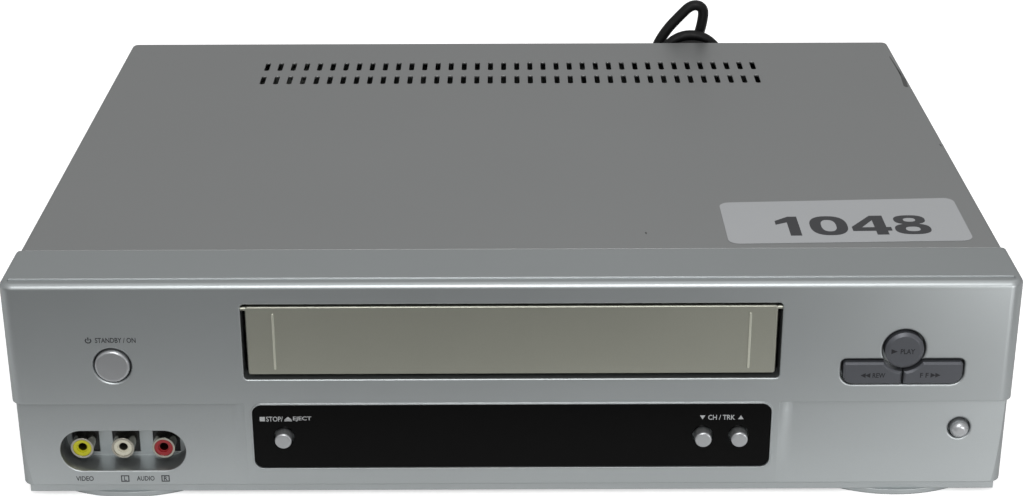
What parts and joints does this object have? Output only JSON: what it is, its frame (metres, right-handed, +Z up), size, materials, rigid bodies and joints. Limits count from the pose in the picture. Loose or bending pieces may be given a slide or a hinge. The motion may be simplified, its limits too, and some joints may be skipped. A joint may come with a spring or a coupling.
{
  "type": "video cassette recorder",
  "caption": "Slim silver front-loading tape recorder with a hinged cassette door, display window, push buttons, front phono sockets, vented steel cover and mains cord.",
  "frame": {"origin": "on the supporting surface, under the middle of the case's footprint, cord left out", "axes": "+Z up, front face towards -Y, +X to the right seen from the front"},
  "size_m": [0.36, 0.3505, 0.1015],
  "materials": {
    "silver_paint": "metallic silver lacquer on moulded plastic, satin",
    "champagne_paint": "champagne silver lacquer on moulded plastic, satin",
    "spring_steel": "bright ground steel",
    "smoked_acrylic": "smoked acrylic, polished",
    "display_glass": "dark display glass",
    "board_laminate": "paper laminate circuit board",
    "black_plastic": "black moulded plastic",
    "silver_keys": "silver lacquered keys",
    "grey_keys": "dark grey moulded keys",
    "nickel_plate": "nickel plate",
    "yellow_plastic": "yellow moulded insulator",
    "white_plastic": "white moulded insulator",
    "red_plastic": "red moulded insulator",
    "rubber": "black rubber",
    "grey_enamel": "metallic grey enamel on sheet steel, satin",
    "screw_steel": "blackened steel screws",
    "zinc_steel": "zinc-plated sheet steel",
    "transformer_iron": "varnished laminations and taped winding",
    "capacitor_sleeve": "shrink sleeve",
    "aluminium": "turned aluminium",
    "acetal": "white acetal",
    "cord_pvc": "black PVC"
  },
  "bodies": {
    "case": {"capacitors": "capacitor_sleeve", "cassette_housing": "zinc_steel", "cord_gland": "cord_pvc", "cord_hank": "cord_pvc", "cord_lead": "cord_pvc", "cord_tail": "cord_pvc", "cord_tie": "cord_pvc", "cover_screws": "screw_steel", "deck_plate": "zinc_steel", "display_tube": "display_glass", "display_window": "smoked_acrylic", "door_spring": "spring_steel", "drive_belt": "rubber", "front_bezel": "silver_paint", "front_boards": "board_laminate", "front_feet": "silver_paint", "heat_sink": "aluminium", "jack_holders": "black_plastic", "jack_insulator_yellow": "yellow_plastic", "jack_insulators_red": "red_plastic", "jack_insulators_white": "white_plastic", "jack_shells": "nickel_plate", "key_switches": "black_plastic", "loading_motor": "zinc_steel", "lower_drum": "aluminium", "main_board": "board_laminate", "main_frame": "black_plastic", "mains_plug": "cord_pvc", "multi_pin_sockets": "black_plastic", "power_board": "board_laminate", "rear_feet": "rubber", "rear_panel": "zinc_steel", "tape_heads": "spring_steel", "top_cover": "grey_enamel", "transformer": "transformer_iron", "tuner_can": "nickel_plate"},
    "door": {"cassette_door": "champagne_paint"},
    "standby": {"standby_button": "silver_keys"},
    "play": {"play_button": "grey_keys"},
    "rewind": {"rewind_button": "grey_keys"},
    "forward": {"forward_button": "grey_keys"},
    "stop": {"stop_button": "silver_keys"},
    "channel_down": {"channel_down_button": "silver_keys"},
    "channel_up": {"channel_up_button": "silver_keys"},
    "record": {"record_button": "silver_keys"},
    "carriage": {"slide_plates": "acetal"},
    "holder": {"cassette_holder": "zinc_steel"},
    "shaft": {"drive_shaft": "acetal"},
    "motor_gear": {"motor_pinion": "acetal"},
    "drum": {"upper_drum": "aluminium"},
    "supply": {"supply_reel": "acetal"},
    "takeup": {"takeup_reel": "acetal"},
    "idler": {"idler_arm": "zinc_steel"},
    "idler_disc": {"idler_wheel": "rubber"},
    "clutch": {"clutch_pulley": "acetal"},
    "capstan": {"capstan_flywheel": "spring_steel"},
    "pinch": {"pinch_arm": "zinc_steel"},
    "pinch_wheel": {"pinch_roller": "rubber"},
    "left_guide": {"left_tape_guide": "spring_steel"},
    "right_guide": {"right_tape_guide": "spring_steel"}
  },
  "joints": [
    {"name": "door_hinge", "type": "hinge", "parent": "case", "child": "door", "pos_m": [0, -0.1376, 0.076], "axis": [1, 0, 0], "range_deg": [0, 88], "stiffness_Nm_per_rad": 0.004, "springref_deg": -5.73},
    {"name": "standby_press", "type": "slide", "parent": "case", "child": "standby", "axis": [0, 1, 0], "range_m": [0, 0.0008], "stiffness_N_per_m": 250},
    {"name": "play_press", "type": "slide", "parent": "case", "child": "play", "axis": [0, 1, 0], "range_m": [0, 0.0008], "stiffness_N_per_m": 250},
    {"name": "rewind_press", "type": "slide", "parent": "case", "child": "rewind", "axis": [0, 1, 0], "range_m": [0, 0.0008], "stiffness_N_per_m": 250},
    {"name": "forward_press", "type": "slide", "parent": "case", "child": "forward", "axis": [0, 1, 0], "range_m": [0, 0.0008], "stiffness_N_per_m": 250},
    {"name": "stop_press", "type": "slide", "parent": "case", "child": "stop", "axis": [0, 1, 0], "range_m": [0, 0.0008], "stiffness_N_per_m": 250},
    {"name": "channel_down_press", "type": "slide", "parent": "case", "child": "channel_down", "axis": [0, 1, 0], "range_m": [0, 0.0008], "stiffness_N_per_m": 250},
    {"name": "channel_up_press", "type": "slide", "parent": "case", "child": "channel_up", "axis": [0, 1, 0], "range_m": [0, 0.0008], "stiffness_N_per_m": 250},
    {"name": "record_press", "type": "slide", "parent": "case", "child": "record", "axis": [0, 1, 0], "range_m": [0, 0.0008], "stiffness_N_per_m": 250},
    {"name": "carriage_in", "type": "slide", "parent": "case", "child": "carriage", "axis": [0, 1, 0], "range_m": [0, 0.062]},
    {"name": "holder_down", "type": "slide", "parent": "carriage", "child": "holder", "axis": [0, 0, -1], "range_m": [0, 0.02]},
    {"name": "shaft_turn", "type": "hinge", "parent": "case", "child": "shaft", "pos_m": [0, -0.0423, 0.0782], "axis": [1, 0, 0], "range_deg": [0, 888.58]},
    {"name": "motor_turn", "type": "hinge", "parent": "case", "child": "motor_gear", "pos_m": [0, -0.0423, 0.0686], "axis": [1, 0, 0], "range_deg": [-1243.82, 0]},
    {"name": "drum_spin", "type": "hinge", "parent": "case", "child": "drum", "pos_m": [0.008, 0.0507, 0.024], "axis": [0, -0.1045, 0.9945], "continuous": true},
    {"name": "supply_spin", "type": "hinge", "parent": "case", "child": "supply", "pos_m": [-0.046, -0.0433, 0.0216], "axis": [0, 0, 1], "continuous": true},
    {"name": "takeup_spin", "type": "hinge", "parent": "case", "child": "takeup", "pos_m": [0.046, -0.0433, 0.0216], "axis": [0, 0, 1], "continuous": true},
    {"name": "idler_swing", "type": "hinge", "parent": "case", "child": "idler", "pos_m": [0, -0.0663, 0.0216], "axis": [0, 0, 1], "range_deg": [-17, 17]},
    {"name": "idler_spin", "type": "hinge", "parent": "idler", "child": "idler_disc", "pos_m": [0, -0.0433, 0.0216], "axis": [0, 0, 1], "continuous": true},
    {"name": "clutch_spin", "type": "hinge", "parent": "case", "child": "clutch", "pos_m": [0, -0.0663, 0.0216], "axis": [0, 0, 1], "continuous": true},
    {"name": "capstan_spin", "type": "hinge", "parent": "case", "child": "capstan", "pos_m": [0.066, 0.0127, 0.0204], "axis": [0, 0, 1], "continuous": true},
    {"name": "pinch_swing", "type": "hinge", "parent": "case", "child": "pinch", "pos_m": [0.088, 0.0207, 0.0204], "axis": [0, 0, 1], "range_deg": [-26, 0]},
    {"name": "pinch_spin", "type": "hinge", "parent": "pinch", "child": "pinch_wheel", "pos_m": [0.07507, -0.00297, 0.0204], "axis": [0, 0, 1], "continuous": true},
    {"name": "left_guide_slide", "type": "slide", "parent": "case", "child": "left_guide", "axis": [-0.2696, 0.963, 0], "range_m": [0, 0.05192]},
    {"name": "right_guide_slide", "type": "slide", "parent": "case", "child": "right_guide", "axis": [0.2696, 0.963, 0], "range_m": [0, 0.05192]}
  ],
  "couplings": [
    {"joint": "shaft_turn", "follows": "carriage_in", "rad_per_m": 250},
    {"joint": "motor_turn", "follows": "carriage_in", "rad_per_m": -350},
    {"joint": "clutch_spin", "follows": "capstan_spin", "ratio": 1.6667},
    {"joint": "right_guide_slide", "follows": "left_guide_slide", "ratio": 1}
  ]
}
